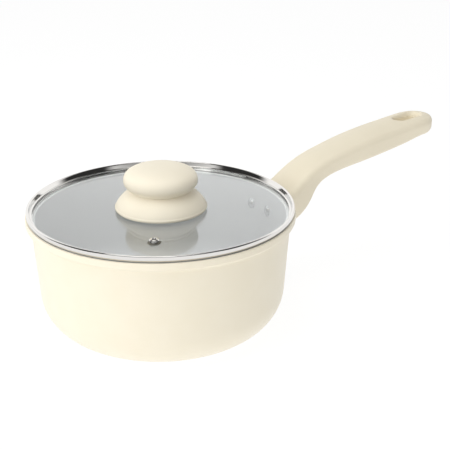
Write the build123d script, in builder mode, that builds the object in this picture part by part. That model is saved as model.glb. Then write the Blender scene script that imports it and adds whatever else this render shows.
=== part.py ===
from build123d import *
import os
from math import cos, radians, sin, tan

# Small saucepan with a flat glass lid, in millimetres.
# The pan's axis is Z, it stands on Z = 0, and the handle runs out along +X.

# Pan body: die-cast aluminium with a thick base and a wall that opens upwards
WALL_TAPER = 4.0
WALL = 3.0
BASE = 4.5
FOOT_RADIUS = 82.9          # outer wall carried down to Z = 0, before its corner is rounded
OUTER_CORNER = 29.5
INNER_CORNER = 25.0
RIM_RADIUS = 91.8
RIM_TOP = 83.0
RIM_BAND_BOTTOM = 76.6
RIM_BAND_RISE = 1.9         # the underside of the band slopes out over this height
STEP_RADIUS = 89.6          # the lid drops into this step
LEDGE = 78.6
BAND_ROOT_CORNER = 2.5      # where the band's underside leaves the wall
BAND_CORNER = 1.2           # lower outer edge of the band
RIM_CORNER = 0.8            # upper outer edge of the band
STEP_CORNER = 0.5
LEDGE_ROOT_CORNER = 0.8
LEDGE_CORNER = 0.6

# Induction plate: steel disc pressed flush into the base
PLATE_RADIUS = 52.0
PLATE_THICKNESS = 1.0

# Rivets through the wall and the handle bracket
RIVET_TURN = 6.55           # degrees each side of the handle's plane
RIVET_HEIGHT = 63.2
RIVET_RADIUS = 2.4
RIVET_HEAD_RADIUS = 3.8
RIVET_HEAD = 1.8
RIVET_DOME = 1.5            # rounding of the head's edge
RIVET_TAIL_RADIUS = 3.6
RIVET_TAIL = 1.4
RIVET_HOLE_CLEARANCE = 0.1

# Handle bracket: pressed steel saddle on the wall with a tongue into the grip
SADDLE_TURN = 9.3           # degrees each side of the handle's plane
SADDLE_BOTTOM = 55.0
SADDLE_TOP = 71.0
SADDLE = 2.0
TONGUE_ROOT = (91.0, 64.5)
TONGUE_PITCH = 24.0
TONGUE_LENGTH = 29.0
TONGUE_WIDTH = 12.0
TONGUE = 3.0
TONGUE_WELD = 2.5           # how far the tongue runs back into the saddle

# Handle grip: one moulding, a goose-neck arm that ends in a round tip
# Each station of the arm: distance out, height, width, thickness
ARM = (
    (84.0, 63.3, 45.0, 22.4),
    (95.0, 64.0, 41.5, 23.4),
    (105.0, 66.5, 37.0, 24.2),
    (113.4, 72.0, 34.2, 22.7),
    (120.5, 79.3, 32.7, 19.0),
    (130.3, 85.9, 31.8, 16.0),
    (145.0, 90.6, 31.8, 15.5),
    (170.0, 95.0, 33.0, 17.1),
    (200.0, 99.1, 33.5, 17.1),
    (222.0, 102.1, 33.5, 15.4),
)
TIP_CENTRE = (234.6, 103.8)
TIP_RADIUS = 16.7
TIP_THICKNESS = 14.0
TIP_END_THICKNESS = 8.0
TIP_RISE = 2.6
TIP_STEPS = (0.0, 20.0, 38.0, 54.0, 67.0, 77.0)     # degrees round the tip
ROOT_GAP = 1.0              # the grip's root stops this far below the rim band
CROWN = 0.10                # rise of the arm's top across it, as a share of its width
BELLY = 0.06
UNDERSIDE = 0.80            # width of the underside, as a share of the arm's width
RIDGE_RADIUS = 4.5          # rounding of the top's edges where the arm is full size
KEEL_RADIUS = 5.0           # rounding of the underside's edges
FULL_WIDTH = 30.0
FULL_THICKNESS = 14.0
GRIP_CLEARANCE = 0.3

# Pocket in the grip's root for the saddle and the rivet tails
POCKET_DEPTH = 4.2
POCKET_TURN = 9.8           # degrees each side of the handle's plane

# Hanging slot through the grip's end
SLOT_CENTRE = 228.0
SLOT_LENGTH = 24.0
SLOT_WIDTH = 10.5
SLOT_LIP_HEIGHT = 109.0
SLOT_LIP_TAPER = -35.0

# Screw that holds the grip on the tongue
HANDLE_SCREW_RADIUS = 2.0
HANDLE_SCREW_HEAD_RADIUS = 3.6
HANDLE_SCREW_HEAD = 2.4
HANDLE_SCREW_CORNER = 0.8
HANDLE_SCREW_ALONG = 20.0   # distance along the tongue from its root
HANDLE_SCREW_SHANK = 11.2
WASHER = 0.8
WASHER_RADIUS = 3.8
SCREW_SEAT = 9.0            # from the tongue's middle to the washer's seat
SCREW_HOLE_DEPTH = 24.0     # cuts right through the underside
CROSS_LENGTH = 3.6          # cross recess of both screws
CROSS_WIDTH = 0.8
CROSS_DEPTH = 1.4

# Lid: flat tempered glass in a folded steel rim
GLASS_TOP = 84.0
GLASS = 4.0
GLASS_RADIUS = 88.4
GLASS_EDGE = 0.4
GLASS_HOLE_CLEARANCE = 1.2  # round the knob's screw
STRIP = 0.7                 # sheet thickness of the rim
RING_RADIUS = 91.0
RING_TOP = 87.6
RIM_GRIP = 2.0              # how far the strip folds under the glass
RIM_LIP = 2.1               # how far it folds over the glass
RIM_FIT = 0.1               # between the glass's edge and the strip
HEM = 1.1                   # from the outer wall to the inner wall of the ring, middle to middle
RING_SLOPE = 1.0            # how far the inner wall leans in as it drops to the glass
RIM_BENDS = (0.4, 0.4, 0.9, 0.54, 0.54, 0.4)    # radii of its bends, from under the glass to over it

# Vent eyelet
VENT_X = -33.8
VENT_Y = -46.3
VENT_HOLE = 1.3
VENT_TUBE = 2.4
VENT_CLEARANCE = 0.3        # between the tube and the glass
VENT_FLANGE = 3.4
VENT_FLANGE_HEIGHT = 1.2
VENT_FLANGE_CORNER = 0.96
VENT_WASHER_RADIUS = 4.4
VENT_WASHER = 0.8
VENT_CURL = 0.7
VENT_CURL_RADIUS = 3.2

# Knob: a flared skirt and a round head, held by one screw through the glass
GASKET = 0.5
GASKET_RADIUS = 28.0
SKIRT_BOTTOM = GLASS_TOP + GASKET
SKIRT_RADIUS = 31.4
SKIRT_LIP = 2.4             # height of the rounded lip, with its foot and its shoulder set in
SKIRT_LIP_MIDDLE = 0.9
SKIRT_FOOT_INSET = 1.0
SKIRT_SHOULDER_INSET = 0.5
SKIRT_FLARE = ((29.4, 89.6), (25.4, 94.0))      # points on the curve from the lip to the neck
SKIRT_HOLLOW_RADIUS = 25.0
SKIRT_BOSS_RADIUS = 9.0
SKIRT_HOLLOW = 6.0
SKIRT_HOLLOW_DRAFT = 20
NECK_RADIUS = 21.2
NECK_HEIGHT = 97.8
COLLAR_RADIUS = 21.7
COLLAR_HEIGHT = 1.6         # plain band at the foot of the head
SEAM_INSET = 1.2            # depth of the shadow gap between the skirt and the head
HEAD_SEAT = 98.3
HEAD_RADIUS = 25.2
HEAD_WIDEST = 104.2
KNOB_TOP = 114.3
DOME_FULLNESS = 2.55        # 2 is an ellipse, more is squarer
DOME_STEPS = (10, 22, 36, 50, 62, 72, 80, 86)   # degrees along the dome for its points
INSERT_RADIUS = 4.5
INSERT_LENGTH = 9.0
INSERT_GROOVE = 0.6
INSERT_GROOVES = (0.3, 0.65)                    # places along it, as shares of its length
KNOB_SCREW_RADIUS = 2.4
KNOB_SCREW_CLEARANCE = 0.4
KNOB_SCREW_HEAD_RADIUS = 4.6
KNOB_SCREW_HEAD = 3.0
KNOB_SCREW_DOME = 1.4
KNOB_SCREW_END = 1.0        # the shank stops this far short of the insert's end
LOWER_GASKET = 0.7
KNOB_WASHER = 1.2
KNOB_WASHER_RADIUS = 9.0
SPRING_WASHER = 1.1
SPRING_WASHER_RADIUS = 4.2
SPRING_SPLIT = 0.8
SEAT = 0.05                 # seating gap between pressed parts


def wall_radius(z):
    """Outer radius of the pan's wall at height z."""
    return FOOT_RADIUS + z * tan(radians(WALL_TAPER))


def inner_radius(z):
    """Inner radius of the pan's wall at height z."""
    return wall_radius(z) - WALL / cos(radians(WALL_TAPER))


def radial_plane(turn):
    """Upright plane through the pan's axis: local x runs outwards, local y upwards."""
    a = radians(turn)
    return Plane(origin=(0, 0, 0), x_dir=(cos(a), sin(a), 0), z_dir=(sin(a), -cos(a), 0))


def rivet_plane(turn):
    """Plane on the pan's inner wall at a rivet, with its normal pointing outwards."""
    a, t = radians(turn), radians(WALL_TAPER)
    r = inner_radius(RIVET_HEIGHT) - SEAT
    return Plane(
        origin=(r * cos(a), r * sin(a), RIVET_HEIGHT),
        z_dir=(cos(a) * cos(t), sin(a) * cos(t), -sin(t)),
    )


def tongue_plane(along=0.0, above=0.0):
    """Plane across the tongue: x runs across it, y up through it, z along it."""
    t = radians(TONGUE_PITCH)
    x = TONGUE_ROOT[0] + along * cos(t) - above * sin(t)
    z = TONGUE_ROOT[1] + along * sin(t) + above * cos(t)
    return Plane(origin=(x, 0, z), x_dir=(0, 1, 0), z_dir=(cos(t), 0, sin(t)))


def handle_screw_plane(above):
    """Plane square to the handle screw, facing down out of the grip."""
    t = radians(TONGUE_PITCH)
    return Plane(
        origin=tongue_plane(HANDLE_SCREW_ALONG, above).origin,
        x_dir=(0, 1, 0),
        z_dir=(sin(t), 0, -cos(t)),
    )


RIVET_TURNS = {"left": RIVET_TURN, "right": -RIVET_TURN}
os.makedirs("parts", exist_ok=True)

# ---------------------------------------------------------------- pan

with BuildPart() as pan_body:
    with BuildSketch(Plane.XZ) as pan_profile:
        with BuildLine():
            Polyline(
                (0, 0),
                (FOOT_RADIUS, 0),
                (wall_radius(RIM_BAND_BOTTOM), RIM_BAND_BOTTOM),
                (RIM_RADIUS, RIM_BAND_BOTTOM + RIM_BAND_RISE),
                (RIM_RADIUS, RIM_TOP),
                (STEP_RADIUS, RIM_TOP),
                (STEP_RADIUS, LEDGE),
                (inner_radius(LEDGE), LEDGE),
                (inner_radius(BASE), BASE),
                (0, BASE),
                close=True,
            )
        make_face()
        for corner, radius in (
            ((FOOT_RADIUS, 0), OUTER_CORNER),
            ((inner_radius(BASE), BASE), INNER_CORNER),
            ((wall_radius(RIM_BAND_BOTTOM), RIM_BAND_BOTTOM), BAND_ROOT_CORNER),
            ((RIM_RADIUS, RIM_BAND_BOTTOM + RIM_BAND_RISE), BAND_CORNER),
            ((RIM_RADIUS, RIM_TOP), RIM_CORNER),
            ((STEP_RADIUS, RIM_TOP), STEP_CORNER),
            ((STEP_RADIUS, LEDGE), LEDGE_ROOT_CORNER),
            ((inner_radius(LEDGE), LEDGE), LEDGE_CORNER),
        ):
            fillet(pan_profile.vertices().sort_by_distance(corner)[0], radius)
    revolve(axis=Axis.Z)
    with BuildSketch(Plane.XY):
        Circle(PLATE_RADIUS)
    extrude(amount=PLATE_THICKNESS, mode=Mode.SUBTRACT)
    for turn in RIVET_TURNS.values():
        with BuildSketch(rivet_plane(turn)):
            Circle(RIVET_RADIUS + RIVET_HOLE_CLEARANCE)
        extrude(amount=2 * WALL, both=True, mode=Mode.SUBTRACT)
pan_body.part.label = "pan_body"
export_step(pan_body.part, "parts/pan_body.step")

with BuildPart() as induction_plate:
    with BuildSketch(Plane.XY):
        Circle(PLATE_RADIUS - SEAT)
    extrude(amount=PLATE_THICKNESS)
induction_plate.part.label = "induction_plate"
export_step(induction_plate.part, "parts/induction_plate.step")

# ---------------------------------------------------------------- handle

with BuildPart() as handle_bracket:
    with BuildSketch(radial_plane(-SADDLE_TURN)):
        with BuildLine():
            Polyline(
                (wall_radius(SADDLE_BOTTOM) + SEAT, SADDLE_BOTTOM),
                (wall_radius(SADDLE_BOTTOM) + SEAT + SADDLE, SADDLE_BOTTOM),
                (wall_radius(SADDLE_TOP) + SEAT + SADDLE, SADDLE_TOP),
                (wall_radius(SADDLE_TOP) + SEAT, SADDLE_TOP),
                close=True,
            )
        make_face()
    revolve(axis=Axis.Z, revolution_arc=2 * SADDLE_TURN)
    with BuildSketch(tongue_plane(-TONGUE_WELD)):
        Rectangle(TONGUE_WIDTH, TONGUE)
    extrude(amount=TONGUE_LENGTH)
    for turn in RIVET_TURNS.values():
        with BuildSketch(rivet_plane(turn)):
            Circle(RIVET_RADIUS + RIVET_HOLE_CLEARANCE)
        extrude(amount=3 * WALL, mode=Mode.SUBTRACT)
    with BuildSketch(handle_screw_plane(0)):
        Circle(HANDLE_SCREW_RADIUS)
    extrude(amount=TONGUE, both=True, mode=Mode.SUBTRACT)
handle_bracket.part.label = "handle_bracket"
export_step(handle_bracket.part, "parts/handle_bracket.step")

RIVET_GRIP = WALL + SADDLE + 4 * SEAT       # from the inside of the wall to the back of the saddle

for side, turn in RIVET_TURNS.items():
    with BuildPart() as rivet:
        with BuildSketch(rivet_plane(turn)):
            Circle(RIVET_HEAD_RADIUS)
        extrude(amount=-RIVET_HEAD)
        fillet(rivet.faces().sort_by(Axis((0, 0, 0), rivet_plane(turn).z_dir))[0].edges(), RIVET_DOME)
        with BuildSketch(rivet_plane(turn)):
            Circle(RIVET_RADIUS)
        extrude(amount=RIVET_GRIP)
        with BuildSketch(rivet_plane(turn).offset(RIVET_GRIP)):
            Circle(RIVET_TAIL_RADIUS)
        extrude(amount=RIVET_TAIL)
    rivet.part.label = f"rivet_{side}"
    export_step(rivet.part, f"parts/rivet_{side}.step")

arm_stations = list(ARM)
for angle in TIP_STEPS:
    reach, narrowing = sin(radians(angle)), cos(radians(angle))
    arm_stations.append((
        TIP_CENTRE[0] + TIP_RADIUS * reach,
        TIP_CENTRE[1] + TIP_RISE * reach**2,
        2 * TIP_RADIUS * narrowing,
        TIP_THICKNESS + (TIP_END_THICKNESS - TIP_THICKNESS) * reach**3,
    ))
arm_line = Spline(*[(x, 0, z) for x, z, width, thickness in arm_stations])


def arm_section(x, z, width, thickness):
    """One cross-section of the arm: crowned top, narrower rounded underside."""
    share = arm_line.param_at_point((x, 0, z))
    plane = Plane(origin=(x, 0, z), x_dir=(0, 1, 0), z_dir=arm_line % share)
    half, low = width / 2, width / 2 * UNDERSIDE
    top, crown = thickness / 2 - CROWN * width / 2, thickness / 2 + CROWN * width / 2
    bottom, belly = thickness / 2 - BELLY * width / 2, thickness / 2 + BELLY * width / 2
    size = min(1.0, width / FULL_WIDTH, thickness / FULL_THICKNESS)
    with BuildSketch(plane) as section:
        with BuildLine():
            ThreePointArc((-half, top), (0, crown), (half, top))
            Line((half, top), (low, -bottom))
            ThreePointArc((low, -bottom), (0, -belly), (-low, -bottom))
            Line((-low, -bottom), (-half, top))
        make_face()
        corners = section.vertices().group_by(Axis.Y)
        fillet(corners[-1], RIDGE_RADIUS * size)
        fillet(section.vertices().group_by(Axis.Y)[0], KEEL_RADIUS * size)
    return section.sketch


arm_sections = [arm_section(*station) for station in arm_stations]

with BuildPart() as handle_grip:
    for section in arm_sections:
        add(section)
    loft()
    # the root is cut to the pan's wall and stays under the rim band
    root_top = RIM_BAND_BOTTOM - ROOT_GAP
    with BuildSketch(Plane.XZ):
        with BuildLine():
            Polyline(
                (0, 0),
                (wall_radius(0) + GRIP_CLEARANCE, 0),
                (wall_radius(root_top) + GRIP_CLEARANCE, root_top),
                (RIM_RADIUS + GRIP_CLEARANCE, root_top),
                (RIM_RADIUS + GRIP_CLEARANCE, RIM_TOP),
                (0, RIM_TOP),
                close=True,
            )
        make_face()
    revolve(axis=Axis.Z, mode=Mode.SUBTRACT)
    # pocket for the saddle and its rivet tails
    with BuildSketch(radial_plane(-POCKET_TURN)):
        with BuildLine():
            Polyline(
                (wall_radius(SADDLE_BOTTOM) - WALL, SADDLE_BOTTOM - GRIP_CLEARANCE),
                (wall_radius(SADDLE_BOTTOM) + POCKET_DEPTH, SADDLE_BOTTOM - GRIP_CLEARANCE),
                (wall_radius(SADDLE_TOP) + POCKET_DEPTH, SADDLE_TOP + GRIP_CLEARANCE),
                (wall_radius(SADDLE_TOP) - WALL, SADDLE_TOP + GRIP_CLEARANCE),
                close=True,
            )
        make_face()
    revolve(axis=Axis.Z, revolution_arc=2 * POCKET_TURN, mode=Mode.SUBTRACT)
    # socket for the tongue
    with BuildSketch(tongue_plane(-TONGUE_WELD)):
        Rectangle(TONGUE_WIDTH + 2 * GRIP_CLEARANCE, TONGUE + 2 * GRIP_CLEARANCE)
    extrude(amount=TONGUE_LENGTH + GRIP_CLEARANCE, mode=Mode.SUBTRACT)
    # screw hole and counterbore from the underside
    with BuildSketch(handle_screw_plane(0)):
        Circle(HANDLE_SCREW_RADIUS + GRIP_CLEARANCE)
    extrude(amount=SCREW_HOLE_DEPTH, mode=Mode.SUBTRACT)
    with BuildSketch(handle_screw_plane(-SCREW_SEAT)):
        Circle(WASHER_RADIUS + 2 * GRIP_CLEARANCE)
    extrude(amount=SCREW_HOLE_DEPTH, mode=Mode.SUBTRACT)
    # hanging slot with a flared lip on top
    with BuildSketch(Plane.XY.offset(TIP_CENTRE[1])):
        with Locations((SLOT_CENTRE, 0)):
            SlotOverall(SLOT_LENGTH, SLOT_WIDTH)
    extrude(amount=2 * TIP_THICKNESS, both=True, mode=Mode.SUBTRACT)
    with BuildSketch(Plane.XY.offset(SLOT_LIP_HEIGHT)):
        with Locations((SLOT_CENTRE, 0)):
            SlotOverall(SLOT_LENGTH, SLOT_WIDTH)
    extrude(amount=TIP_THICKNESS, taper=SLOT_LIP_TAPER, mode=Mode.SUBTRACT)
handle_grip.part.label = "handle_grip"
export_step(handle_grip.part, "parts/handle_grip.step")

with BuildPart() as handle_washer:
    with BuildSketch(handle_screw_plane(-SCREW_SEAT)):
        Circle(WASHER_RADIUS)
        Circle(HANDLE_SCREW_RADIUS + SEAT, mode=Mode.SUBTRACT)
    extrude(amount=WASHER)
handle_washer.part.label = "handle_washer"
export_step(handle_washer.part, "parts/handle_washer.step")

with BuildPart() as handle_screw:
    with BuildSketch(handle_screw_plane(-SCREW_SEAT - WASHER)):
        Circle(HANDLE_SCREW_HEAD_RADIUS)
    extrude(amount=HANDLE_SCREW_HEAD)
    head_end = handle_screw.faces().sort_by(Axis((0, 0, 0), handle_screw_plane(0).z_dir))[-1]
    fillet(head_end.edges(), HANDLE_SCREW_CORNER)
    with BuildSketch(handle_screw_plane(-SCREW_SEAT - WASHER - HANDLE_SCREW_HEAD)):
        Rectangle(CROSS_LENGTH, CROSS_WIDTH)
        Rectangle(CROSS_WIDTH, CROSS_LENGTH)
    extrude(amount=-CROSS_DEPTH, mode=Mode.SUBTRACT)
    with BuildSketch(handle_screw_plane(-SCREW_SEAT - WASHER)):
        Circle(HANDLE_SCREW_RADIUS - SEAT)
    extrude(amount=-HANDLE_SCREW_SHANK)
handle_screw.part.label = "handle_screw"
export_step(handle_screw.part, "parts/handle_screw.step")

# ---------------------------------------------------------------- lid

GLASS_BOTTOM = GLASS_TOP - GLASS

with BuildPart() as lid_glass:
    with BuildSketch(Plane.XY.offset(GLASS_BOTTOM)):
        Circle(GLASS_RADIUS)
    extrude(amount=GLASS)
    chamfer(lid_glass.edges().filter_by(GeomType.CIRCLE), GLASS_EDGE)
    with BuildSketch(Plane.XY.offset(GLASS_BOTTOM)):
        Circle(KNOB_SCREW_RADIUS + GLASS_HOLE_CLEARANCE)
        with Locations((VENT_X, VENT_Y)):
            Circle(VENT_TUBE + VENT_CLEARANCE)
    extrude(amount=GLASS, mode=Mode.SUBTRACT)
lid_glass.part.label = "lid_glass"
export_step(lid_glass.part, "parts/lid_glass.step")

with BuildPart() as lid_rim:
    with BuildSketch(Plane.XZ):
        with BuildLine() as strip:
            under = GLASS_BOTTOM - STRIP / 2 - SEAT
            over = GLASS_TOP + STRIP / 2
            skirt = GLASS_RADIUS + STRIP / 2 + RIM_FIT
            outside = RING_RADIUS - STRIP / 2
            FilletPolyline(
                (skirt - RIM_GRIP, under),
                (skirt, under),
                (skirt, RIM_TOP + STRIP / 2),
                (outside, RIM_TOP + STRIP / 2),
                (outside, RING_TOP - STRIP / 2),
                (outside - HEM, RING_TOP - STRIP / 2),
                (outside - HEM - RING_SLOPE, over),
                (outside - HEM - RIM_LIP, over),
                radius=RIM_BENDS,
            )
        trace(line_width=STRIP)
    revolve(axis=Axis.Z)
lid_rim.part.label = "lid_rim"
export_step(lid_rim.part, "parts/lid_rim.step")

with BuildPart() as vent_eyelet:
    with BuildSketch(Plane.XY.offset(GLASS_TOP)):
        with Locations((VENT_X, VENT_Y)):
            Circle(VENT_FLANGE)
    extrude(amount=VENT_FLANGE_HEIGHT)
    fillet(vent_eyelet.faces().sort_by(Axis.Z)[-1].edges(), VENT_FLANGE_CORNER)
    curl_height = GLASS_BOTTOM - VENT_WASHER - VENT_CURL
    with BuildSketch(Plane.XY.offset(curl_height)):
        with Locations((VENT_X, VENT_Y)):
            Circle(VENT_TUBE)
    extrude(amount=GLASS_TOP - curl_height)
    with BuildSketch(Plane.XY.offset(curl_height)):
        with Locations((VENT_X, VENT_Y)):
            Circle(VENT_CURL_RADIUS)
    extrude(amount=VENT_CURL)
    with BuildSketch(Plane.XY.offset(curl_height)):
        with Locations((VENT_X, VENT_Y)):
            Circle(VENT_HOLE)
    extrude(amount=GLASS_TOP + VENT_FLANGE_HEIGHT - curl_height, mode=Mode.SUBTRACT)
vent_eyelet.part.label = "vent_eyelet"
export_step(vent_eyelet.part, "parts/vent_eyelet.step")

with BuildPart() as vent_washer:
    with BuildSketch(Plane.XY.offset(GLASS_BOTTOM - VENT_WASHER)):
        with Locations((VENT_X, VENT_Y)):
            Circle(VENT_WASHER_RADIUS)
            Circle(VENT_TUBE + SEAT, mode=Mode.SUBTRACT)
    extrude(amount=VENT_WASHER)
vent_washer.part.label = "vent_washer"
export_step(vent_washer.part, "parts/vent_washer.step")

# ---------------------------------------------------------------- knob

with BuildPart() as knob_gasket_upper:
    with BuildSketch(Plane.XY.offset(GLASS_TOP)):
        Circle(GASKET_RADIUS)
        Circle(KNOB_SCREW_RADIUS + KNOB_SCREW_CLEARANCE, mode=Mode.SUBTRACT)
    extrude(amount=GASKET)
knob_gasket_upper.part.label = "knob_gasket_upper"
export_step(knob_gasket_upper.part, "parts/knob_gasket_upper.step")

with BuildPart() as knob_skirt:
    with BuildSketch(Plane.XZ):
        with BuildLine():
            Polyline(
                (KNOB_SCREW_RADIUS + KNOB_SCREW_CLEARANCE, HEAD_SEAT),
                (KNOB_SCREW_RADIUS + KNOB_SCREW_CLEARANCE, SKIRT_BOTTOM),
                (SKIRT_RADIUS - SKIRT_FOOT_INSET, SKIRT_BOTTOM),
            )
            ThreePointArc(
                (SKIRT_RADIUS - SKIRT_FOOT_INSET, SKIRT_BOTTOM),
                (SKIRT_RADIUS, SKIRT_BOTTOM + SKIRT_LIP_MIDDLE),
                (SKIRT_RADIUS - SKIRT_SHOULDER_INSET, SKIRT_BOTTOM + SKIRT_LIP),
            )
            Spline(
                (SKIRT_RADIUS - SKIRT_SHOULDER_INSET, SKIRT_BOTTOM + SKIRT_LIP),
                *SKIRT_FLARE,
                (NECK_RADIUS, NECK_HEIGHT),
                tangents=((-0.35, 1), (-0.9, 1)),
            )
            Polyline(
                (NECK_RADIUS, NECK_HEIGHT),
                (COLLAR_RADIUS - SEAM_INSET, NECK_HEIGHT),
                (COLLAR_RADIUS - SEAM_INSET, HEAD_SEAT),
                (KNOB_SCREW_RADIUS + KNOB_SCREW_CLEARANCE, HEAD_SEAT),
            )
        make_face()
    revolve(axis=Axis.Z)
    with BuildSketch(Plane.XY.offset(SKIRT_BOTTOM)):
        Circle(SKIRT_HOLLOW_RADIUS)
        Circle(SKIRT_BOSS_RADIUS, mode=Mode.SUBTRACT)
    extrude(amount=SKIRT_HOLLOW, taper=SKIRT_HOLLOW_DRAFT, mode=Mode.SUBTRACT)
knob_skirt.part.label = "knob_skirt"
export_step(knob_skirt.part, "parts/knob_skirt.step")



def dome_point(angle):
    """Point on the head's dome, from its widest place at 0 degrees to its top at 90."""
    out, up = cos(radians(angle)), sin(radians(angle))
    return (
        HEAD_RADIUS * out ** (2 / DOME_FULLNESS),
        HEAD_WIDEST + (KNOB_TOP - HEAD_WIDEST) * up ** (2 / DOME_FULLNESS),
    )


with BuildPart() as knob_head:
    with BuildSketch(Plane.XZ):
        with BuildLine():
            Polyline(
                (INSERT_RADIUS, HEAD_SEAT),
                (COLLAR_RADIUS, HEAD_SEAT),
                (COLLAR_RADIUS, HEAD_SEAT + COLLAR_HEIGHT),
            )
            EllipticalCenterArc(
                (COLLAR_RADIUS, HEAD_WIDEST),
                HEAD_RADIUS - COLLAR_RADIUS,
                HEAD_WIDEST - HEAD_SEAT - COLLAR_HEIGHT,
                start_angle=270,
                arc_size=90,
            )
            Spline(
                (HEAD_RADIUS, HEAD_WIDEST),
                *[dome_point(angle) for angle in DOME_STEPS],
                (0, KNOB_TOP),
                tangents=((0, 1), (-1, 0)),
            )
            Polyline(
                (0, KNOB_TOP),
                (0, HEAD_SEAT + INSERT_LENGTH),
                (INSERT_RADIUS, HEAD_SEAT + INSERT_LENGTH),
                (INSERT_RADIUS, HEAD_SEAT),
            )
        make_face()
    revolve(axis=Axis.Z)
knob_head.part.label = "knob_head"
export_step(knob_head.part, "parts/knob_head.step")

with BuildPart() as knob_insert:
    with BuildSketch(Plane.XY.offset(HEAD_SEAT + SEAT)):
        Circle(INSERT_RADIUS - SEAT)
        Circle(KNOB_SCREW_RADIUS, mode=Mode.SUBTRACT)
    extrude(amount=INSERT_LENGTH - 2 * SEAT)
    for groove in INSERT_GROOVES:
        with BuildSketch(Plane.XY.offset(HEAD_SEAT + INSERT_LENGTH * groove)):
            Circle(INSERT_RADIUS)
            Circle(INSERT_RADIUS - INSERT_GROOVE, mode=Mode.SUBTRACT)
        extrude(amount=INSERT_GROOVE, mode=Mode.SUBTRACT)
knob_insert.part.label = "knob_insert"
export_step(knob_insert.part, "parts/knob_insert.step")

stack = GLASS_BOTTOM
under_knob = (
    ("knob_gasket_lower", LOWER_GASKET, KNOB_WASHER_RADIUS),
    ("knob_washer", KNOB_WASHER, KNOB_WASHER_RADIUS),
    ("knob_spring_washer", SPRING_WASHER, SPRING_WASHER_RADIUS),
)
for name, thickness, radius in under_knob:
    stack -= thickness
    with BuildPart() as washer:
        with BuildSketch(Plane.XY.offset(stack)):
            Circle(radius)
            Circle(KNOB_SCREW_RADIUS + SEAT, mode=Mode.SUBTRACT)
            if name == "knob_spring_washer":
                with Locations((radius, 0)):
                    Rectangle(2 * radius, SPRING_SPLIT, mode=Mode.SUBTRACT)
        extrude(amount=thickness)
    washer.part.label = name
    export_step(washer.part, f"parts/{name}.step")

with BuildPart() as knob_screw:
    with BuildSketch(Plane.XY.offset(stack)):
        Circle(KNOB_SCREW_HEAD_RADIUS)
    extrude(amount=-KNOB_SCREW_HEAD)
    fillet(knob_screw.faces().sort_by(Axis.Z)[0].edges(), KNOB_SCREW_DOME)
    with BuildSketch(Plane.XY.offset(stack - KNOB_SCREW_HEAD)):
        Rectangle(CROSS_LENGTH, CROSS_WIDTH)
        Rectangle(CROSS_WIDTH, CROSS_LENGTH)
    extrude(amount=CROSS_DEPTH, mode=Mode.SUBTRACT)
    with BuildSketch(Plane.XY.offset(stack)):
        Circle(KNOB_SCREW_RADIUS - SEAT)
    extrude(amount=HEAD_SEAT + INSERT_LENGTH - KNOB_SCREW_END - stack)
knob_screw.part.label = "knob_screw"
export_step(knob_screw.part, "parts/knob_screw.step")
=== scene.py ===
from math import atan2, cos, hypot, pi, radians, sin, tan

import bmesh
import bpy
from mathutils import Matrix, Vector


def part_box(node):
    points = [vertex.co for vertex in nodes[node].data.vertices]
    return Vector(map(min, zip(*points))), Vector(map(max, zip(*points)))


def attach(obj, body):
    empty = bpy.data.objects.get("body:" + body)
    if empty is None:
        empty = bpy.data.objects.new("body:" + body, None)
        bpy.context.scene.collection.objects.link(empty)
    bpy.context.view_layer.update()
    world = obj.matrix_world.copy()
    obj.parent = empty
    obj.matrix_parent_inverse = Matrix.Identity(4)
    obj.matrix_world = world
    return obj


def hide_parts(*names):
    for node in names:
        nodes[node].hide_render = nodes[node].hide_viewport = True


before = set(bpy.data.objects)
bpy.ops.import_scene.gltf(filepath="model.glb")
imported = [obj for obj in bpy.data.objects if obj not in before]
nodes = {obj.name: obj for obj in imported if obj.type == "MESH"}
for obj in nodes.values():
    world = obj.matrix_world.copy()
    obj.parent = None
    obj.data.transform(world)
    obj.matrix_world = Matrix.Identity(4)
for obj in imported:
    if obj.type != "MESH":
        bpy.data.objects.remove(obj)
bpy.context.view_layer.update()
MM = 0.001

# ------------------------------------------------------------------ camera
# A long lens a little above the rim, with the handle going away to the right.
VIEW_TURN = radians(-35)
VIEW_TILT = radians(22.07)
VIEW_DISTANCE = 0.700
VIEW_TARGET = Vector((0.0356, -0.0250, 0.0713))

lens = bpy.data.cameras.new("camera")
lens.lens = 81.5
lens.sensor_width = 36
camera = bpy.data.objects.new("camera", lens)
back = Vector((
    sin(VIEW_TURN) * cos(VIEW_TILT),
    -cos(VIEW_TURN) * cos(VIEW_TILT),
    sin(VIEW_TILT),
))
camera.location = VIEW_TARGET + back * VIEW_DISTANCE
camera.rotation_mode = "QUATERNION"
camera.rotation_quaternion = (-back).to_track_quat("-Z", "Y")
bpy.context.scene.collection.objects.link(camera)
bpy.context.scene.camera = camera
bpy.context.scene.view_settings.view_transform = "Standard"


# ------------------------------------------------------------------ studio
# A white table in a white tent that lights the pan evenly, with a large soft lamp on the
# left, a low one in front and one overhead. Steel and glass mirror the tent as nearly
# black, apart from its back wall, a low window in front and the lamp overhead.
class Wire:
    """One output of a node. Arithmetic on it adds a Math node and gives that node's output."""

    def __init__(self, finish, socket):
        self.finish, self.socket = finish, socket

    def __add__(self, other):
        return self.finish.maths("ADD", self, other)

    def __sub__(self, other):
        return self.finish.maths("SUBTRACT", self, other)

    def __rsub__(self, other):
        return self.finish.maths("SUBTRACT", other, self)

    def __mul__(self, other):
        return self.finish.maths("MULTIPLY", self, other)

    __radd__ = __add__


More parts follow.
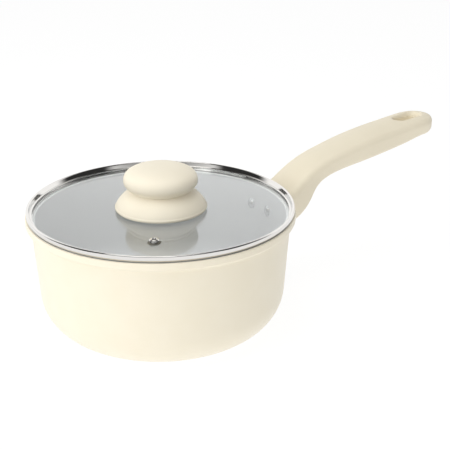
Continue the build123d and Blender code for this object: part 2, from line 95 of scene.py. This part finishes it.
class Finish:
    """The nodes of one material, of the tent, or of one way to make a mesh."""

    def __init__(self, tree, owner):
        self.tree, self.owner = tree, owner
        self.tree.nodes.clear()

    def add(self, kind, settings=None, inputs=None, output=0):
        """Adds a node, sets it up and gives one of its outputs."""
        node = self.tree.nodes.new(kind)
        for name, value in (settings or {}).items():
            setattr(node, name, value)
        for name, value in (inputs or {}).items():
            if isinstance(value, Wire):
                self.tree.links.new(value.socket, node.inputs[name])
            else:
                node.inputs[name].default_value = value
        return Wire(self, node.outputs[output]) if len(node.outputs) else node

    def maths(self, operation, *values):
        return self.add("ShaderNodeMath", {"operation": operation}, dict(enumerate(values)))

    def place(self):
        """Where a point of the piece is, in metres, in the piece's own frame."""
        return self.add("ShaderNodeTexCoord", output="Object")

    def parts(self, vector):
        """The x, y and z of a vector."""
        split = self.add("ShaderNodeSeparateXYZ", inputs={"Vector": vector})
        return [Wire(self, out) for out in split.socket.node.outputs]

    def step(self, value, low, high):
        """0 below low, 1 above high, and a smooth rise between them."""
        return self.add(
            "ShaderNodeMapRange",
            {"interpolation_type": "SMOOTHSTEP"},
            {"Value": value, "From Min": low, "From Max": high},
        )

    def noise(self, where, scale, detail=2.0):
        return self.add(
            "ShaderNodeTexNoise", inputs={"Vector": where, "Scale": scale, "Detail": detail}
        )

    def blend(self, share, first, second):
        """A colour that goes from the first to the second as share goes from 0 to 1."""
        return self.add(
            "ShaderNodeMix", {"data_type": "RGBA"}, {0: share, 6: first, 7: second}, output=2
        )

    def bump(self, height, distance, strength):
        return self.add(
            "ShaderNodeBump", inputs={"Height": height, "Distance": distance, "Strength": strength}
        )

    def shade(self, inputs):
        """Ends the material in one surface with these inputs."""
        surface = self.add("ShaderNodeBsdfPrincipled", inputs=inputs)
        self.add("ShaderNodeOutputMaterial", inputs={"Surface": surface})
        return self.owner


def finish(name):
    """An empty material to build on."""
    material = bpy.data.materials.new(name)
    material.use_nodes = True
    return Finish(material.node_tree, material)


def rgb(red, green, blue):
    """A colour given as a painter's 0 to 255 values, as the linear light a shader takes."""
    levels = [v / 255 for v in (red, green, blue)]
    return (*[v / 12.92 if v <= 0.04045 else ((v + 0.055) / 1.055) ** 2.4 for v in levels], 1)


def grey(level):
    return (level, level, level, 1)


def as_object(name, mesh):
    thing = bpy.data.objects.new(name, mesh)
    bpy.context.scene.collection.objects.link(thing)
    return thing


LAMP_AIM = Vector((0, 0, 0.05))


def softbox(name, turn, tilt, distance, width, height, power):
    """A flat lamp that looks at the pan from this side."""
    lamp = bpy.data.lights.new(name, "AREA")
    lamp.shape, lamp.size, lamp.size_y, lamp.energy = "RECTANGLE", width, height, power
    holder = as_object(name, lamp)
    away = Vector((sin(turn) * cos(tilt), -cos(turn) * cos(tilt), sin(tilt)))
    holder.location = LAMP_AIM + away * distance
    holder.rotation_mode = "QUATERNION"
    holder.rotation_quaternion = (-away).to_track_quat("-Z", "Y")
    return holder


# The first two only light the pan; the steel mirrors the one overhead.
for lamp in (
    softbox("key_lamp", radians(-95), radians(30), distance=1.3, width=1.1, height=1.0, power=4.4),
    softbox("front_lamp", radians(-55), radians(6), distance=1.4, width=1.2, height=0.4, power=2.6),
):
    lamp.visible_glossy = False
softbox("top_lamp", radians(-60), radians(78), distance=1.2, width=0.9, height=0.9, power=5)

TENT_LEFT = 0.66
TENT_RIGHT = 0.32
MIRRORED_BACK = 1.15
MIRRORED_FRONT = 0.9
MIRRORED_DARK = 0.03
BACK_WALL_SIDE = (0.10, 0.35)   # where the white wall begins, going back
BACK_WALL_TOP = (0.58, 0.90)    # and where it ends, going up
WINDOW_SIDE = (0.50, 0.66)      # the same for the low window, going forward
WINDOW_TOP = (0.34, 0.46)       # and up

world = bpy.data.worlds.new("white_tent")
world.use_nodes = True
bpy.context.scene.world = world
tent = Finish(world.node_tree, world)
seen = tent.add("ShaderNodeLightPath", output="Is Camera Ray")
mirrored = tent.add("ShaderNodeLightPath", output="Is Glossy Ray")
scattered = tent.add("ShaderNodeLightPath", output="Diffuse Depth")
mirrored = mirrored * (1 - tent.maths("MINIMUM", scattered, 1))
side_x, side_y, up = tent.parts(tent.add("ShaderNodeTexCoord", output="Generated"))
ahead = side_x * sin(VIEW_TURN) - side_y * cos(VIEW_TURN)
across = side_x * cos(VIEW_TURN) + side_y * sin(VIEW_TURN)
back_wall = tent.step(ahead * -1, *BACK_WALL_SIDE) * (1 - tent.step(up, *BACK_WALL_TOP))
front_window = tent.step(ahead, *WINDOW_SIDE) * (1 - tent.step(up, *WINDOW_TOP))
mirror_view = tent.blend(back_wall, grey(MIRRORED_DARK), grey(MIRRORED_BACK))
mirror_view = tent.blend(front_window, mirror_view, grey(MIRRORED_FRONT))
cloth = tent.blend(across * 0.5 + 0.5, grey(TENT_LEFT), grey(TENT_RIGHT))
tent_light = tent.blend(mirrored, cloth, mirror_view)
tent_colour = tent.blend(seen, tent_light, grey(1))
tent.add("ShaderNodeOutputWorld", inputs={
    "Surface": tent.add("ShaderNodeBackground", inputs={"Color": tent_colour}),
})

FLOOR_HALF = 3.0
FLOOR_SHADE = 0.18              # it glows nearly white and still takes a faint shadow
FLOOR_GLOW = 0.88

floor_mesh = bpy.data.meshes.new("floor")
floor_mesh.from_pydata(
    [(x * FLOOR_HALF, y * FLOOR_HALF, 0) for x, y in ((-1, -1), (1, -1), (1, 1), (-1, 1))],
    [],
    [(0, 1, 2, 3)],
)
floor = as_object("floor", floor_mesh)
floor_mesh.materials.append(
    finish("white_table").shade({
        "Base Color": grey(FLOOR_SHADE),
        "Roughness": 0.9,
        "Specular IOR Level": 0.0,
        "Emission Color": grey(1),
        "Emission Strength": FLOOR_GLOW,
    })
)


# ------------------------------------------------------------------ pan body
# Die-cast aluminium bowl with a thick base and a heavy band under its rim, cast in one.
# Cream ceramic coat outside and over the rim, and light grey non-stick in the bowl and on the step
# that the lid drops into, where it is painted paler as a painted highlight. All are sprayed, so
# they have a fine peel.
def wear(node, material):
    """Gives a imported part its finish."""
    node = nodes[node]
    node.data.materials.clear()
    node.data.materials.append(material)


CREAM = (rgb(249, 241, 221), rgb(245, 236, 213))
LINING = (rgb(209, 210, 210), rgb(225, 226, 226))
# painted highlight: the step is painted paler than the bowl's grey lining, standing in for the
# bright edges of the ledge
STEP_HIGHLIGHT = rgb(240, 241, 240)
STEP_RADIUS = 90.3 * MM         # the lining and its painted highlight end on the rim, just outside the step
STEP_FOOT = (78.0 * MM, 78.3 * MM)      # and begins between these heights
STEP_BLUR = 0.1 * MM
BOWL_BLUR = 0.2 * MM
WALL_FLARE = tan(radians(4))
MID_CORNER = (56.1 * MM, 29.5 * MM)     # centre of the corner of a line half way through the wall
MID_CORNER_RADIUS = 27.25 * MM

coats = finish("pan_coats")
where = coats.place()
x, y, z = coats.parts(where)
out = coats.maths("SQRT", x * x + y * y)
over_corner = coats.maths("MAXIMUM", z - MID_CORNER[1], 0)
under_corner = coats.maths("MAXIMUM", MID_CORNER[1] - z, 0)
past_corner = coats.maths("MAXIMUM", out - MID_CORNER[0] - over_corner * WALL_FLARE, 0)
from_centre = coats.maths("SQRT", past_corner * past_corner + under_corner * under_corner)
in_bowl = coats.step(MID_CORNER_RADIUS - from_centre, -BOWL_BLUR, BOWL_BLUR)
in_step = coats.step(STEP_RADIUS - out, -STEP_BLUR, STEP_BLUR) * coats.step(z, *STEP_FOOT)
lined = coats.maths("MAXIMUM", in_bowl, in_step)
mottle = coats.noise(where, 60, 3)
speck = coats.step(coats.noise(where, 900, 1), 0.66, 0.72)
# painted highlight: on the step the grey lining is blended to a paler grey
lining_and_step_highlight = coats.blend(in_step, coats.blend(speck * 0.5, *LINING), STEP_HIGHLIGHT)
peel = coats.noise(where, 420) * 0.6 + coats.noise(where, 1800) * 0.4
wear("pan_body", coats.shade({
    "Base Color": coats.blend(lined, coats.blend(mottle, *CREAM), lining_and_step_highlight),
    "Roughness": 0.34 + lined * 0.10 + mottle * 0.06,
    "Normal": coats.bump(peel, 0.03 * MM, 0.35),
    "Specular IOR Level": 0.45,
}))


# ------------------------------------------------------------------ induction plate
# Disc of magnetic stainless steel pressed flush into the base, with its face turned in
# fine rings so that it grips the hob. It is held all round by the cast aluminium.
class Maker(Finish):
    """Geometry Nodes that make one kind of piece, with named inputs for what differs."""

    KINDS = {
        "Outline": "NodeSocketGeometry",
        "Finish": "NodeSocketMaterial",
        "Steps": "NodeSocketInt",
        "Turn": "NodeSocketFloat",
        "Reach": "NodeSocketFloat",
        "Height": "NodeSocketFloat",
        "Lean": "NodeSocketFloat",
    }

    def __init__(self, name, *inputs):
        group = bpy.data.node_groups.new(name, "GeometryNodeTree")
        super().__init__(group, group)
        for label in inputs:
            group.interface.new_socket(name=label, in_out="INPUT", socket_type=self.KINDS[label])
        group.interface.new_socket(name="Piece", in_out="OUTPUT", socket_type="NodeSocketGeometry")
        given = group.nodes.new("NodeGroupInput")
        self.given = {label: Wire(self, given.outputs[label]) for label in inputs}

    def end(self, geometry):
        """Ends the tree in a real mesh with its finish on it."""
        real = self.add("GeometryNodeRealizeInstances", inputs={0: geometry})
        painted = self.add(
            "GeometryNodeSetMaterial", inputs={"Geometry": real, "Material": self.given["Finish"]}
        )
        self.add("NodeGroupOutput", inputs={0: painted})
        return self.owner


def settle(piece):
    """Makes a piece's modifiers part of its mesh."""
    bpy.context.view_layer.update()
    grown = piece.evaluated_get(bpy.context.evaluated_depsgraph_get())
    mesh = bpy.data.meshes.new_from_object(grown)
    piece.modifiers.clear()
    piece.data = mesh


TOUCHING = 0.001 * MM           # points closer than this are one point


def made(name, outline, maker, values):
    """Runs a maker's tree on a line drawn in the plane, and gives a plain mesh."""
    line = bpy.data.meshes.new(name)
    count = len(outline)
    line.from_pydata(
        [(r, -z, 0) for r, z in outline], [(i, (i + 1) % count) for i in range(count)], []
    )
    piece = as_object(name, line)
    modifier = piece.modifiers.new(name, "NODES")
    modifier.node_group = maker
    sockets = {item.name: item.identifier for item in maker.interface.items_tree}
    for label, value in values.items():
        modifier[sockets[label]] = value
    settle(piece)
    shape = bmesh.new()
    shape.from_mesh(piece.data)
    bmesh.ops.remove_doubles(shape, verts=shape.verts, dist=TOUCHING)
    bmesh.ops.dissolve_degenerate(shape, edges=shape.edges, dist=TOUCHING)
    bmesh.ops.recalc_face_normals(shape, faces=shape.faces)
    for face in shape.faces:
        face.smooth = True
    shape.to_mesh(piece.data)
    shape.free()
    return piece


def swept(maker):
    """A closed outline taken round the Z axis, with its distances out measured from the axis."""
    hub = 1 * MM
    turn = maker.add("GeometryNodeCurvePrimitiveCircle", inputs={
        "Resolution": maker.given["Steps"], "Radius": hub,
    })
    drawn = maker.add("GeometryNodeTransform", inputs={
        "Geometry": maker.given["Outline"], "Translation": (-hub, 0, 0),
    })
    line = maker.add("GeometryNodeMeshToCurve", inputs={"Mesh": drawn})
    return maker.add("GeometryNodeCurveToMesh", inputs={"Curve": turn, "Profile Curve": line})


lathe = Maker("turned_or_rolled", "Outline", "Steps", "Finish")
lathe = lathe.end(swept(lathe))

PLATE_TURNS = 24
PLATE_CUT = 0.12 * MM
PLATE_EDGE = 0.5 * MM
PLATE_LAND = 2.0 * MM           # from the outermost groove to the edge
GROOVE = ((0.30, 0), (0.14, 0.7), (0, 1), (-0.14, 0.7), (-0.30, 0))  # shares of pitch and cut
TOOL_MARKS = 16000              # waves left by the turning tool, in radians a metre

low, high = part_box("induction_plate")
plate_radius, plate_top = high[0], high[2]
plate_outline = [(0, plate_top), (plate_radius, plate_top), (plate_radius, PLATE_EDGE)]
plate_outline += [(plate_radius - PLATE_EDGE, 0)]
pitch = (plate_radius - PLATE_LAND) / PLATE_TURNS
for ring in range(PLATE_TURNS, 0, -1):
    middle = ring * pitch
    for wide, deep in GROOVE:
        plate_outline.append((middle + wide * pitch, deep * PLATE_CUT))
plate_outline.append((0, 0))

spun = finish("spun_steel")
where = spun.place()
x, y, z = spun.parts(where)
out = spun.maths("SQRT", x * x + y * y)
spun_steel = spun.shade({
    "Base Color": spun.blend(spun.noise(where, 90, 3), rgb(176, 176, 174), rgb(205, 205, 203)),
    "Metallic": 1.0,
    "Roughness": 0.30 + spun.noise(where, 500) * 0.12,
    "Normal": spun.bump(spun.maths("SINE", out * TOOL_MARKS), 0.01 * MM, 0.4),
})
plate = made("spun_plate", plate_outline, lathe, {"Steps": 160, "Finish": spun_steel})
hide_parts("induction_plate")
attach(plate, "pan")

# ------------------------------------------------------------------ handle bracket
# Saddle of pressed stainless steel behind the handle's root, bent to the pan's wall, with
# a tongue that runs out into the grip. Only the rivets hold it on.
steel = finish("satin_steel")
where = steel.place()
satin_steel = steel.shade({
    "Base Color": steel.blend(steel.noise(where, 150, 3), rgb(196, 196, 194), rgb(222, 222, 220)),
    "Metallic": 1.0,
    "Roughness": 0.26 + steel.noise(where, 700) * 0.14,
    "Normal": steel.bump(steel.noise(where, 2500, 1), 0.02 * MM, 0.4),
})
wear("handle_bracket", satin_steel)


# ------------------------------------------------------------------ rivets
# Two solid aluminium rivets through the wall and the saddle. Their low domed heads are in
# the bowl and were pressed against the coated wall; their tails are set behind the saddle.
def arc(centre, radius, first, last, steps):
    """Points on part of a circle, from one angle to another, in degrees."""
    turns = [radians(first + (last - first) * i / steps) for i in range(steps + 1)]
    return [(centre[0] + radius * cos(a), centre[1] + radius * sin(a)) for a in turns]


RIVET_TURN = radians(6.55)
RIVET_HEIGHT = 63.2 * MM
RIVET_REACH = 84.26 * MM        # from the pan's axis to the inside of the wall
RIVET_LEAN = radians(4)         # square to the flared wall
RIVET_HEAD = 3.8 * MM
RIVET_DOME = 1.8 * MM
RIVET_DOMED = 0.94              # share of the dome before it drops to the head's edge
RIVET_RIM = 0.16 * MM           # height of that edge
RIVET_SHANK = 2.4 * MM
RIVET_GRIP = 5.2 * MM
RIVET_TAIL = 3.6 * MM
RIVET_END = 6.6 * MM
RIVET_ROUND = 0.5 * MM          # the tail's rounded edge

dome_radius = (RIVET_HEAD**2 + RIVET_DOME**2) / (2 * RIVET_DOME)
dome_turn = 180 / pi * atan2(RIVET_HEAD, dome_radius - RIVET_DOME)
dome_end = 270 + dome_turn * RIVET_DOMED
rivet_outline = arc((0, dome_radius - RIVET_DOME), dome_radius, 270, dome_end, 10)
rivet_outline += [(RIVET_HEAD, -RIVET_RIM), (RIVET_HEAD, 0), (RIVET_SHANK, 0)]
rivet_outline += [(RIVET_SHANK, RIVET_GRIP), (RIVET_TAIL, RIVET_GRIP)]
rivet_outline += arc((RIVET_TAIL - RIVET_ROUND, RIVET_END - RIVET_ROUND), RIVET_ROUND, 0, 90, 4)
rivet_outline += [(0, RIVET_END)]

pair = Maker("rivet_pair", "Outline", "Steps", "Turn", "Reach", "Height", "Lean", "Finish")
index = pair.add("GeometryNodeInputIndex")
side = (index * 2 - 1) * pair.given["Turn"]
spots = pair.add("GeometryNodeMeshLine", inputs={"Count": 2})
spots = pair.add("GeometryNodeSetPosition", inputs={
    "Geometry": spots,
    "Position": pair.add("ShaderNodeCombineXYZ", inputs={
        "X": pair.maths("COSINE", side) * pair.given["Reach"],
        "Y": pair.maths("SINE", side) * pair.given["Reach"],
        "Z": pair.given["Height"],
    }),
})
set_in = pair.add("GeometryNodeInstanceOnPoints", inputs={
    "Points": spots,
    "Instance": swept(pair),
    "Rotation": pair.add(
        "ShaderNodeCombineXYZ", inputs={"Y": pi / 2 + pair.given["Lean"], "Z": side}
    ),
})
pair = pair.end(set_in)

pressed = finish("rivet_metal")
where = pressed.place()
rivets = made("rivets", rivet_outline, pair, {
    "Steps": 40,
    "Turn": RIVET_TURN,
    "Reach": RIVET_REACH,
    "Height": RIVET_HEIGHT,
    "Lean": RIVET_LEAN,
    "Finish": pressed.shade({
        "Base Color": pressed.blend(
            pressed.noise(where, 400), rgb(208, 209, 210), rgb(226, 227, 228)
        ),
        "Metallic": 1.0,
        "Roughness": 0.07 + pressed.noise(where, 900) * 0.06,
    }),
})
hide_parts("rivet_left", "rivet_right")
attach(rivets, "pan")

# ------------------------------------------------------------------ handle grip
# One moulding in heat-resistant plastic in the pan's cream, hollow at its root, pushed over
# the bracket's tongue; its colour is painted a little darker than the knob's as painted shade.
# The mouth of its hanging slot is rounded all the way in, as a mould leaves it.
GRIP_CELL = 0.6 * MM            # size of the cells that the grip is skinned with
SKIN_ROUNDS = 3                 # rounds of smoothing all over
MOUTH_ROUNDS = 12               # and as many more at the mouth of the slot
SLOT_CENTRE = Vector((228, 0, 104)) * MM
SLOT_REACH = (19 * MM, 12 * MM, 12 * MM)        # of its mouth: along, across and up
SLOT_FADE = 0.35                # share of that reach over which the extra rounds fade out


def moulded(name, light, dark):
    """Satin plastic with the fine grain of its mould."""
    skin = finish(name)
    where = skin.place()
    return skin.shade({
        "Base Color": skin.blend(skin.noise(where, 45, 3), light, dark),
        "Roughness": 0.46 + skin.noise(where, 300) * 0.08,
        "Normal": skin.bump(skin.noise(where, 1400), 0.03 * MM, 0.4),
        "Specular IOR Level": 0.4,
    })


# painted shade: the grip's cream is darker than the knob's, though they are the same plastic
cream_moulding = moulded("cream_moulding", rgb(243, 234, 211), rgb(238, 228, 204))

grip_mesh = nodes["handle_grip"].data.copy()
shape = bmesh.new()
shape.from_mesh(grip_mesh)
bmesh.ops.remove_doubles(shape, verts=shape.verts, dist=TOUCHING)
shape.to_mesh(grip_mesh)
shape.free()
grip = as_object("grip_moulding", grip_mesh)

skin = grip.modifiers.new("skin", "REMESH")
skin.mode, skin.voxel_size, skin.use_smooth_shade = "VOXEL", GRIP_CELL, True
settle(grip)
mouth = grip.vertex_groups.new(name="slot_mouth")
for point in grip.data.vertices:
    away = point.co - SLOT_CENTRE
    reach = hypot(*[a / r for a, r in zip(away, SLOT_REACH)])
    share = min(max((1 - reach) / SLOT_FADE, 0), 1)
    if share > 0:
        mouth.add([point.index], share, "REPLACE")
for name, group, rounds in (("skin", "", SKIN_ROUNDS), ("mouth", "slot_mouth", MOUTH_ROUNDS)):
    soften = grip.modifiers.new(name, "SMOOTH")
    soften.factor, soften.iterations, soften.vertex_group = 0.5, rounds, group
settle(grip)
grip.data.materials.clear()
grip.data.materials.append(cream_moulding)
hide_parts("handle_grip")
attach(grip, "pan")

# ------------------------------------------------------------------ handle screw and washer
# Stainless screw with a cross recess, driven up through the grip's underside into the
# bracket's tongue, on a plain washer. Both stand in a deep hole under the grip.
for part in ("handle_washer", "handle_screw"):
    wear(part, satin_steel)

# ------------------------------------------------------------------ lid glass
# Flat disc of clear tempered glass with a ground edge and two holes, for the knob's screw
# and for the vent. The steel rim folds round its edge.
glass = finish("clear_glass")
wear("lid_glass", glass.shade({
    "Base Color": (0.965, 0.98, 0.975, 1),
    "Roughness": 0.0,
    "IOR": 1.5,
    "Transmission Weight": 1.0,
}))
nodes["lid_glass"].visible_shadow = False       # so that light reaches the bowl


# ------------------------------------------------------------------ lid rim
# One strip of stainless steel rolled round the glass: it folds under the edge, stands out
# over the pan's rim, hems back on itself and comes down to grip the glass from above.
# It is polished, so it mirrors the studio in thin bright and black lines.
def rolled(corners, bends, sheet, steps=7):
    """The closed outline of a folded sheet, from the corners of its middle line."""
    middle = [Vector(corners[0])]
    for before, corner, after, bend in zip(corners, corners[1:], corners[2:], bends):
        before, corner, after = Vector(before), Vector(corner), Vector(after)
        into, out_of = (corner - before).normalized(), (after - corner).normalized()
        turn = into.angle_signed(out_of)
        side = -1 if turn > 0 else 1
        start = corner - into * (bend * tan(abs(turn) / 2))
        centre = start + Vector((-into.y, into.x)) * (side * bend)
        arm = start - centre
        for i in range(steps + 1):
            a = side * abs(turn) * i / steps
            spoke = Vector((arm.x * cos(a) - arm.y * sin(a), arm.x * sin(a) + arm.y * cos(a)))
            middle.append(centre + spoke)
    middle.append(Vector(corners[-1]))
    left, right = [], []
    for i, point in enumerate(middle):
        along = (middle[min(i + 1, len(middle) - 1)] - middle[max(i - 1, 0)]).normalized()
        off = Vector((-along.y, along.x)) * (sheet / 2)
        left.append(point + off)
        right.append(point - off)
    caps = []
    for end, neighbour in ((middle[-1], middle[-2]), (middle[0], middle[1])):
        along = (end - neighbour).normalized()
        start = atan2(along.x, -along.y) * 180 / pi
        caps.append([Vector(p) for p in arc(end, sheet / 2, start, start - 180, 6)[1:-1]])
    return [tuple(p) for p in left + caps[0] + right[::-1] + caps[1]]


SHEET = 0.7                     # all of the rim is in millimetres, along the strip's middle
RIM_GRIP = 2.0                  # how far the strip folds under the glass
RIM_LIP = 2.1                   # how far it folds over the glass
RIM_FIT = 0.1
HEM = 1.1                       # between the outer and the inner wall of the bead
BEAD_SLOPE = 1.0                # how far the bead's inner wall leans in
RIM_REST = 83.35                # height at which the strip turns out over the pan's rim
HEEL = 1.0                      # then it turns up to the bead, just clear of the rim
HEEL_RISE = 1.6
RIM_BENDS = (0.4, 0.3, 0.4, 0.6, 0.54, 0.54, 0.4)       # the radius at each corner in turn

low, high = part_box("lid_rim")
bead_out, bead_top = high[0] / MM - SHEET / 2, high[2] / MM - SHEET / 2
under = low[2] / MM + SHEET / 2
low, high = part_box("lid_glass")
skirt, over = high[0] / MM + RIM_FIT + SHEET / 2, high[2] / MM + SHEET / 2
rim_outline = rolled(
    (
        (skirt - RIM_GRIP, under),
        (skirt, under),
        (skirt, RIM_REST),
        (bead_out - HEEL, RIM_REST),
        (bead_out, RIM_REST + HEEL_RISE),
        (bead_out, bead_top),
        (bead_out - HEM, bead_top),
        (bead_out - HEM - BEAD_SLOPE, over),
        (bead_out - HEM - RIM_LIP, over),
    ),
    RIM_BENDS,
    SHEET,
)

polish = finish("polished_steel")
where = polish.place()
polished_steel = polish.shade({
    "Base Color": (0.76, 0.745, 0.72, 1),
    "Metallic": 1.0,
    "Roughness": 0.06 + polish.noise(where, 260) * 0.05,
})
rim = made("rolled_rim", [(r * MM, z * MM) for r, z in rim_outline], lathe, {
    "Steps": 320, "Finish": polished_steel,
})
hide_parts("lid_rim")
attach(rim, "lid")

# ------------------------------------------------------------------ steam vent
# Small eyelet of bright stainless steel through the glass. Its flange is domed on top with
# the hole's edge rolled in, and its tube is curled over a washer under the glass.
VENT_HOLE = 1.3 * MM
VENT_TUBE = 2.4 * MM
VENT_BEAD = 0.55 * MM
VENT_SHOULDER = 1.4 * VENT_BEAD         # height of the curl against the tube
CROWN_STEPS = 16
CROWN_POWER = 0.8               # under 1, so that the flange's dome is full at its edges

low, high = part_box("vent_eyelet")
vent_x, vent_y = (low[0] + high[0]) / 2, (low[1] + high[1]) / 2
vent_flange, vent_top, vent_low = (high[0] - low[0]) / 2, high[2], low[2]
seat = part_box("lid_glass")[1][2]
vent_middle = (vent_flange + VENT_HOLE) / 2
vent_rise = vent_top - seat
crown = [
    (
        vent_middle + (vent_flange - VENT_HOLE) / 2 * cos(a),
        seat + vent_rise * sin(a) ** CROWN_POWER,
    )
    for a in [pi * i / CROWN_STEPS for i in range(1, CROWN_STEPS)]
]
vent_outline = [(vent_flange, seat)] + crown + [(VENT_HOLE, seat)]
vent_outline += [(VENT_HOLE, vent_low + VENT_BEAD)]
vent_outline += arc((VENT_TUBE, vent_low + VENT_BEAD), VENT_BEAD, 180, 360, 10)
vent_outline += [(VENT_TUBE, vent_low + VENT_SHOULDER), (VENT_TUBE, seat)]
vent = made("vent", vent_outline, lathe, {"Steps": 64, "Finish": polished_steel})
for point in vent.data.vertices:
    point.co += Vector((vent_x, vent_y, 0))
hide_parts("vent_eyelet")
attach(vent, "lid")
wear("vent_washer", satin_steel)

# ------------------------------------------------------------------ knob
# Two mouldings in the handle's cream: a flared skirt that stands on the glass and a round
# head over it, with a shadow gap between them.
knob_moulding = moulded("knob_moulding", rgb(252, 244, 224), rgb(248, 239, 217))
for part in ("knob_skirt", "knob_head"):
    wear(part, knob_moulding)

# ------------------------------------------------------------------ knob fixings
# A brass insert is moulded into the head. One screw comes up through the glass into it,
# with a silicone gasket on each side of the glass and a plain and a spring washer.
rubber = finish("grey_silicone")
where = rubber.place()
silicone = rubber.shade({
    "Base Color": rubber.blend(rubber.noise(where, 90, 3), rgb(176, 176, 170), rgb(190, 190, 184)),
    "Roughness": 0.62 + rubber.noise(where, 600) * 0.1,
})
for part in ("knob_gasket_upper", "knob_gasket_lower"):
    wear(part, silicone)

brass = finish("turned_brass")
where = brass.place()
wear("knob_insert", brass.shade({
    "Base Color": brass.blend(brass.noise(where, 200, 3), rgb(205, 170, 100), rgb(222, 190, 120)),
    "Metallic": 1.0,
    "Roughness": 0.28 + brass.noise(where, 700) * 0.1,
}))
for part in ("knob_washer", "knob_spring_washer", "knob_screw"):
    wear(part, satin_steel)
